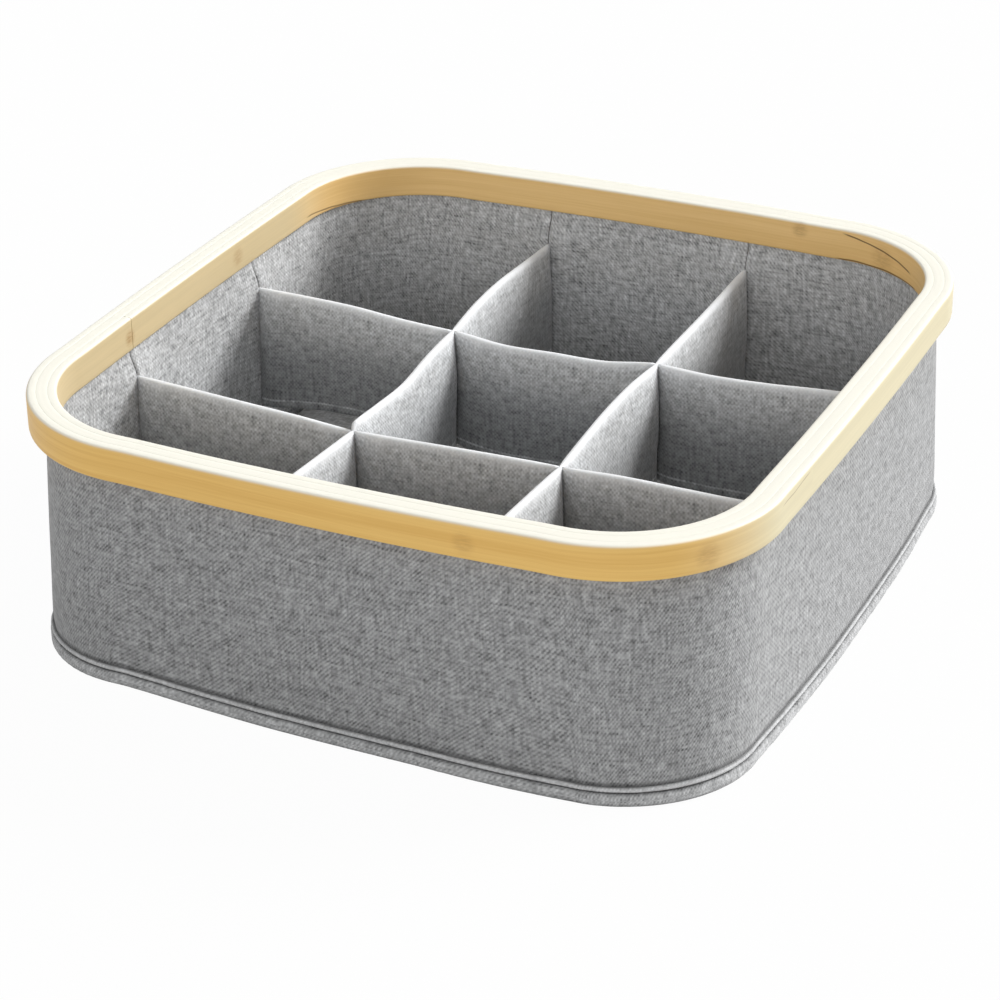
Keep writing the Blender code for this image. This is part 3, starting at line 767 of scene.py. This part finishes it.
def welt(name, section, step, rows, girth, finish, node):
    """A rolled band of cloth carried all round, its section given at each length."""
    columns = ceil(ROUND / step)

    def place(column, row):
        length = ROUND * (column % columns) / columns
        inset, height = section(length, 2 * pi * (row % rows) / rows)
        x, y = outline_point(turn_at(length), inset, max(height, 0.0))
        return x, y, height

    def weave(column, row):
        return ROUND * column / columns, row / rows * girth

    bm = bent_grid(columns, rows, place, weave)
    bmesh.ops.recalc_face_normals(bm, faces=bm.faces)
    return add_piece(name, bm, finish, [node])


HEM_GIRTH = 0.0150
BEAD_GIRTH = 0.0066
HEM_STEP = 0.0007
BEAD_STEP = 0.0006
HEM_TUCKS = 0.00030
HEM_FINE_TUCKS = 0.00022
HEM_SWELL = 0.0003
# Length of the piping's twist, how far it stands out, and how far the piping wanders
TWIST_LENGTH = 0.0019
TWIST = 0.00010
BEAD_WANDERS = 0.00018


def make_hem(hem_cloth, bead_cloth):
    def hem_section(length, angle):
        """Flat against the cover's lower edge inside, rolled over outside, with slanting tucks."""
        slanted = length + 0.0012 * sin(angle)
        roll = HEM_TUCKS * wander_round(slanted, 0.0, 0.0042, 9.0)
        roll += HEM_FINE_TUCKS * wander_round(slanted, 0.0, 0.0022, 19.0)
        swell = HEM_SWELL * wander_round(length, 0.0, 0.05, 12.0)
        back = COVER_BACK + 0.0006
        middle = (COVER_FACE - HEM_PROUD + back) / 2
        out = cos(angle)
        lump = (roll + swell) * max(out, 0.0)
        inset = middle - ((back - middle) * abs(out) ** 0.85 * (1 if out > 0 else -1) + lump)
        return inset, min(max(HEM_HEIGHT / 2 * (1 + sin(angle)), 0.0), HEM_HEIGHT)

    def bead_section(length, angle):
        """A corded ridge whose twist shows."""
        twist = TWIST * sin(2 * pi * round(ROUND / TWIST_LENGTH) * length / ROUND + 1.5 * sin(angle))
        twist += BEAD_WANDERS * wander_round(length, 0.0, 0.006, 13.0)
        proud = BEAD_PROUD * (0.75 + 0.35 * ease(0.5 + wander_round(length, 0.0, 0.09, 14.0)))
        middle = (COVER_FACE - proud + COVER_BACK) / 2
        height = (BEAD_BOTTOM + BEAD_TOP) / 2 + (BEAD_TOP - BEAD_BOTTOM) / 2 * sin(angle) * 0.92
        return middle - (COVER_BACK - middle + twist) * cos(angle), height

    hem = welt("rolled_hem_cloth", hem_section, HEM_STEP, 18, HEM_GIRTH, hem_cloth, "rolled_hem")
    bead = welt("hem_piping_cloth", bead_section, BEAD_STEP, 12, BEAD_GIRTH, bead_cloth, "hem_piping")
    return hem, bead


# Dividers

# Half a divider's thickness where its ends are sewn, at its fold and where it is fullest
HALF_SEWN = 0.00088
HALF_FOLD = 0.0020
HALF_FULL = 0.0040
# How far from a sewn end the sides, the fold and the lower edge reach their full width
SIDE_TAPER = 0.0075
FOLD_TAPER = 0.010
LIP_TAPER = 0.012
# How soon the sides swell below the fold, and how far they billow, crease, tuck and turn out at their lips
SWELL_DEPTH = 0.0065
DIVIDER_BILLOW = 0.0006
DIVIDER_CREASE = 0.00025
DIVIDER_TUCK = 0.0004
LIP = 0.0008
SLEEVE_STEP = 0.0018


class Stretch:
    """One stretch of divider between two seams, along an axis: 0 runs across, 1 runs front to back."""

    def __init__(self, axis, start, end, tops, lifts, shifts, start_wall, end_wall, seed):
        self.axis = axis
        self.start = start
        self.end = end
        self.tops = tops
        self.lifts = lifts
        self.shifts = shifts
        self.walls = (start_wall, end_wall)
        self.length = end[axis] - start[axis]
        self.seed = seed

    def wall_end(self, side, across, height):
        facing = {(1, 0): 3, (1, 1): 1, (0, 0): 2, (0, 1): 0}[(self.axis, side)]
        along = across if facing in (0, 3) else -across
        return reach(facing, along, height) - LINING_FACE - seam_pull(facing, along, height) + END_IN_SEAM

    def point(self, share, side, height):
        lean = self.start[1 - self.axis] + (self.end[1 - self.axis] - self.start[1 - self.axis]) * share
        across = lean + smooth_between(self.shifts, share) + side
        start = -self.wall_end(0, across, height) if self.walls[0] else self.start[self.axis]
        end = self.wall_end(1, across, height) if self.walls[1] else self.end[self.axis]
        along = start + (end - start) * share
        return (across, along, height) if self.axis else (along, across, height)

    def top(self, share):
        return DIVIDER_HEIGHT * smooth_between(self.tops, share)

    def bottom(self, share):
        return self.top(share) - DIVIDER_HANG + smooth_between(self.lifts, share)

    def opened(self, share, taper):
        """0 where the ends are sewn flat, 1 away from them."""
        return sin(min(min(share, 1 - share) * self.length / taper, 1) * pi / 2)

    def fold(self, share):
        return HALF_SEWN + (HALF_FOLD - HALF_SEWN) * self.opened(share, FOLD_TAPER)

    def half(self, share, depth, side):
        """Half the thickness at a depth below the fold, padded out away from it and from the sewn ends."""
        along = share * self.length
        from_end = min(share, 1 - share) * self.length
        opened = self.opened(share, SIDE_TAPER)
        swell = 1 - exp(-depth / SWELL_DEPTH)
        slack = 1 - 0.5 * ease((depth - 0.024) / 0.028)
        full = (HALF_FULL - HALF_FOLD) * swell * slack * opened
        billow = DIVIDER_BILLOW * wander(along, depth, 0.030, self.seed + side) * opened * swell
        crease = DIVIDER_CREASE * wander(along, depth, 0.009, self.seed + 5 * side) * opened * swell
        tuck = DIVIDER_TUCK * wander(along * 0.5, depth, 0.007, self.seed + 3 * side)
        tuck *= exp(-from_end / 0.011) * opened
        return max(self.fold(share) + full + billow + crease + tuck, HALF_SEWN * 0.9)


SIDE_STEPS = 34
FOLD_STEPS = 12


def sleeve_row(stretch, share, row):
    """A row's side, its depth below the shoulder and its angle round the fold."""
    drop = stretch.top(share) - stretch.fold(share) - stretch.bottom(share)
    if row <= SIDE_STEPS:
        return 1, drop * (1 - row / SIDE_STEPS), 0.0
    if row >= SIDE_STEPS + FOLD_STEPS:
        return -1, drop * (row - SIDE_STEPS - FOLD_STEPS) / SIDE_STEPS, pi
    return 0, 0.0, pi * (row - SIDE_STEPS) / FOLD_STEPS


def sleeve_point(stretch, share, row):
    """A point of the folded cloth: up one side, over the fold, and down the other."""
    side, depth, angle = sleeve_row(stretch, share, row)
    fold = stretch.fold(share)
    shoulder = stretch.top(share) - fold
    if side == 0:
        return stretch.point(share, fold * cos(angle), shoulder + fold * sin(angle))
    left = shoulder - depth - stretch.bottom(share)
    lip = LIP * exp(-left / 0.0012) * stretch.opened(share, LIP_TAPER)
    lip *= 1 + 0.8 * wander(share * stretch.length, 0.0, 0.008, stretch.seed + 7 * side)
    return stretch.point(share, side * (stretch.half(share, depth, side) + lip), shoulder - depth)


def make_sleeve(name, stretches, cloth, nodes):
    shares = []
    for index, stretch in enumerate(stretches):
        steps = even(0, 1, SLEEVE_STEP / stretch.length)
        shares += [(stretch, share) for share in (steps if index == 0 else steps[1:])]
    start = stretches[0].start[stretches[0].axis]

    def place(column, row):
        return sleeve_point(*shares[column], row)

    def weave(column, row):
        stretch, share = shares[column]
        side, depth, angle = sleeve_row(stretch, share, row)
        drop = stretch.top(share) - stretch.fold(share) - stretch.bottom(share)
        return (stretch.start[stretch.axis] + stretch.length * share - start,
                FOLD_LINE + (angle - pi / 2) * HALF_FOLD - side * depth / drop * SIDE_CLOTH)

    bm = bent_grid(len(shares) - 1, 2 * SIDE_STEPS + FOLD_STEPS, place, weave)
    if stretches[0].axis == 0:
        bmesh.ops.reverse_faces(bm, faces=bm.faces)
    piece = add_piece(name, bm, cloth, nodes)
    thicken(piece, CLOTH)
    return piece


def make_dividers(cloth):
    sleeves = []
    inside = INSIDE_HALF_DEPTH
    y_stops = (-inside, *ROWS, inside)
    for number, (name, column, tops, shifts) in enumerate((
            ("left_column", LEFT_COLUMN, LEFT_COLUMN_TOPS, LEFT_COLUMN_SHIFTS),
            ("right_column", RIGHT_COLUMN, RIGHT_COLUMN_TOPS, RIGHT_COLUMN_SHIFTS))):
        stops = list(zip(column, y_stops))
        stretches = [Stretch(1, stops[i], stops[i + 1], tops[i], STRAIGHT, shifts[i], i == 0, i == 2,
                             20.0 + 7 * i + 31 * number)
                     for i in range(3)]
        sleeves.append(make_sleeve(name + "_cloth", stretches, cloth, [name + "_sleeve"]))
    beside = HALF_SEWN + 0.0001
    for number, (row_name, tops) in enumerate((("front_row", FRONT_ROW_TOPS), ("back_row", BACK_ROW_TOPS))):
        y = ROWS[number]
        left, right = LEFT_COLUMN[number + 1], RIGHT_COLUMN[number + 1]
        spans = (("left", -INSIDE_HALF_WIDTH, left - beside), ("middle", left + beside, right - beside),
                 ("right", right + beside, INSIDE_HALF_WIDTH))
        for place, (name, start, end) in enumerate(spans):
            lifts = BACK_LEFT_LIFTS if (number, place) == (1, 0) else STRAIGHT
            stretch = Stretch(0, (start, y), (end, y), tops[place], lifts, STRAIGHT, place == 0, place == 2,
                              90.0 + 11 * place + 41 * number)
            divider = f"{row_name}_{name}"
            sleeves.append(make_sleeve(divider + "_cloth", [stretch], cloth, [divider + "_sleeve"]))
    return sleeves


# Boards stay the CAD's own, in plain grey-brown cardboard

CARDBOARD = (0.30, 0.25, 0.19, 1.0)
PALE_CARDBOARD = (0.42, 0.36, 0.28, 1.0)


def dress_boards():
    recipe = Recipe("stiffening board", {"Roughness": 0.85})
    place = recipe.node("TexCoord", {}, {}, 3)
    flecks = recipe.node("TexNoise", {}, {"Vector": place, "Scale": 900.0, "Detail": 3.0})
    fibres = recipe.node("TexNoise", {}, {"Vector": place, "Scale": 160.0, "Detail": 4.0})
    tone = (flecks * 0.5 + fibres * 0.5).ramp(0.3, 0.7)
    recipe.feed("Base Color", recipe.blend(tone, CARDBOARD, PALE_CARDBOARD))
    recipe.raise_relief(flecks, 0.0001, 0.4)
    for name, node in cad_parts.items():
        if name.endswith("board"):
            node.data.materials.clear()
            node.data.materials.append(recipe.material)


# Floor, light and camera

# The floor's half size, its drop below the base, its colour, and how far the camera sees white in its place
FLOOR_HALF = 4
FLOOR_DROP = 0.0002
FLOOR_COLOUR = (0.68, 0.68, 0.68, 1.0)
SEEN_WHITE = 0.97
WHITE = (1.0, 1.0, 1.0, 1.0)
# Each sun's direction, strength and spread in degrees
KEY_LIGHT = ((0.60, 0.62, 0.53), 3.6, 29)
FRONT_LIGHT = ((0.0, -0.97, 0.14), 0.95, 40)
SKY_STRENGTH = 0.447
# The camera as fitted to the photo's outlines: degrees, metres, and its focal length in the photo's pixels
AZIMUTH = 25.1298
ELEVATION = 27.358
ROLL = -0.663
DISTANCE = 1.25346
TARGET = (0.01313, -0.03637, 0.05)
FOCAL_LENGTH = 3009.84
PHOTO_WIDTH = 1000
SENSOR_WIDTH = 36


def make_floor():
    bm = bmesh.new()
    bmesh.ops.create_grid(bm, x_segments=8, y_segments=8, size=FLOOR_HALF)
    for vert in bm.verts:
        vert.co.z = -FLOOR_DROP
    mesh = bpy.data.meshes.new("studio_floor")
    bm.to_mesh(mesh)
    bm.free()
    floor = bpy.data.objects.new("studio_floor", mesh)
    bpy.context.scene.collection.objects.link(floor)
    recipe = Recipe("studio floor", {"Base Color": FLOOR_COLOUR, "Roughness": 0.9})
    camera_ray = recipe.node("LightPath", {}, {})
    glossy_ray = recipe.node("LightPath", {}, {}, 3)
    through_ray = recipe.node("LightPath", {}, {}, 6)
    white = recipe.node("Emission", {}, {"Color": WHITE, "Strength": 1.0})
    seen = camera_ray.most(glossy_ray).most(through_ray)
    own = Flow(recipe, recipe.shader.outputs[0])
    mixed = recipe.node("MixShader", {}, {0: seen * SEEN_WHITE, 1: own, 2: white})
    output = recipe.tree.nodes["Material Output"]
    recipe.tree.links.new(mixed.socket, output.inputs["Surface"])
    mesh.materials.append(recipe.material)


def add_sun(name, towards, strength, spread_angle):
    lamp = bpy.data.lights.new(name, "SUN")
    lamp.energy = strength
    lamp.angle = radians(spread_angle)
    sun = bpy.data.objects.new(name, lamp)
    bpy.context.scene.collection.objects.link(sun)
    sun.rotation_mode = "QUATERNION"
    sun.rotation_quaternion = Vector(towards).to_track_quat("Z", "Y")


def make_light():
    add_sun("key light", *KEY_LIGHT)
    add_sun("front light", *FRONT_LIGHT)
    world = bpy.data.worlds.new("studio")
    bpy.context.scene.world = world
    world.use_nodes = True
    nodes, links = world.node_tree.nodes, world.node_tree.links
    sky = nodes["Background"]
    sky.inputs["Strength"].default_value = SKY_STRENGTH
    sky.inputs["Color"].default_value = WHITE
    white = nodes.new("ShaderNodeBackground")
    path = nodes.new("ShaderNodeLightPath")
    most = nodes.new("ShaderNodeMath")
    most.operation = "MAXIMUM"
    through = nodes.new("ShaderNodeMath")
    through.operation = "MAXIMUM"
    choose = nodes.new("ShaderNodeMixShader")
    links.new(path.outputs["Is Camera Ray"], most.inputs[0])
    links.new(path.outputs["Is Glossy Ray"], most.inputs[1])
    links.new(most.outputs[0], through.inputs[0])
    links.new(path.outputs["Is Transmission Ray"], through.inputs[1])
    links.new(through.outputs[0], choose.inputs[0])
    links.new(sky.outputs[0], choose.inputs[1])
    links.new(white.outputs[0], choose.inputs[2])
    links.new(choose.outputs[0], nodes["World Output"].inputs["Surface"])


def make_camera():
    azimuth, elevation, roll = radians(AZIMUTH), radians(ELEVATION), radians(ROLL)
    back = Vector((sin(azimuth) * cos(elevation), -cos(azimuth) * cos(elevation), sin(elevation)))
    level = (-back).cross(Vector((0, 0, 1))).normalized()
    upright_axis = level.cross(-back)
    right = cos(roll) * level + sin(roll) * upright_axis
    up = cos(roll) * upright_axis - sin(roll) * level
    data = bpy.data.cameras.new("camera")
    data.sensor_width = SENSOR_WIDTH
    data.lens = SENSOR_WIDTH * FOCAL_LENGTH / PHOTO_WIDTH
    data.clip_start = 0.05
    camera = bpy.data.objects.new("camera", data)
    bpy.context.scene.collection.objects.link(camera)
    turned = Matrix((right, up, back)).transposed().to_4x4()
    camera.matrix_world = Matrix.Translation(Vector(TARGET) + back * DISTANCE) @ turned
    bpy.context.scene.camera = camera


# How much smaller than the rim the floor's and the base's cloths are cut
CUT_INSIDE = 0.02


def declare_sheets(floor, base, hem, bead):
    wide, deep = RIM_WIDTH - CUT_INSIDE, RIM_DEPTH - CUT_INSIDE
    for piece in (floor, base):
        wide * deep - (4 - pi) * BASE_CORNER ** 2


def main():
    bpy.context.scene.view_settings.view_transform = "Standard"
    make_camera()
    make_light()
    make_floor()
    make_hoop()
    # Each cloth's tone, then how strongly its weave, its threads' tones and its slubs show,
    # then its lines of painted light and shade
    # The cover is darkened along its lower edge beside the piping: painted shade in the groove
    cover_cloth = woven_cloth("cover cloth", 0.303, 0.65, 0.8, 1.0, ((COVER_BOTTOM, 0.0020, 0.5),))
    # The lining is darkened towards the floor: painted shade at its foot
    lining_cloth = woven_cloth("lining cloth", 0.485, 0.45, 0.7, 1.1, ((FLOOR_TOP, 0.034, 0.5),))
    floor_cloth = woven_cloth("floor cloth", 0.48, 0.3, 0.5, 0.9)
    # Divider sides painted paler towards the fold and along their lower lips, and the fold painted near the
    # palest: painted light and painted highlights
    divider_cloth = woven_cloth("divider cloth", 0.335, 0.45, 0.5, 0.85,
                                ((FOLD_LINE, 0.034, 1.75),
                                 (FOLD_LINE - SIDE_CLOTH, 0.0008, 1.8), (FOLD_LINE + SIDE_CLOTH, 0.0008, 1.8)),
                                (FOLD_LINE, 0.0060, 0.90), 0.02)
    # The hem is darkened along the top and the bottom of its roll: painted shade in the grooves
    hem_cloth = woven_cloth("hem cloth", 0.44, 0.5, 0.7, 1.0,
                            ((HEM_GIRTH * 0.25, 0.0026, 0.40), (HEM_GIRTH * 0.75, 0.0032, 0.30)))
    # The piping is darkened along its top and its bottom: painted shade in the grooves beside it
    bead_cloth = woven_cloth("piping cloth", 0.57, 0.2, 0.4, 0.6,
                             ((BEAD_GIRTH * 0.25, 0.0014, 0.42), (BEAD_GIRTH * 0.75, 0.0015, 0.28)))
    cover = make_cover(cover_cloth)
    lining = make_lining(lining_cloth)
    floor, base = make_base(floor_cloth, cover_cloth)
    hem, bead = make_hem(hem_cloth, bead_cloth)
    sleeves = make_dividers(divider_cloth)
    dress_boards()
    declare_sheets(floor, base, hem, bead)


main()
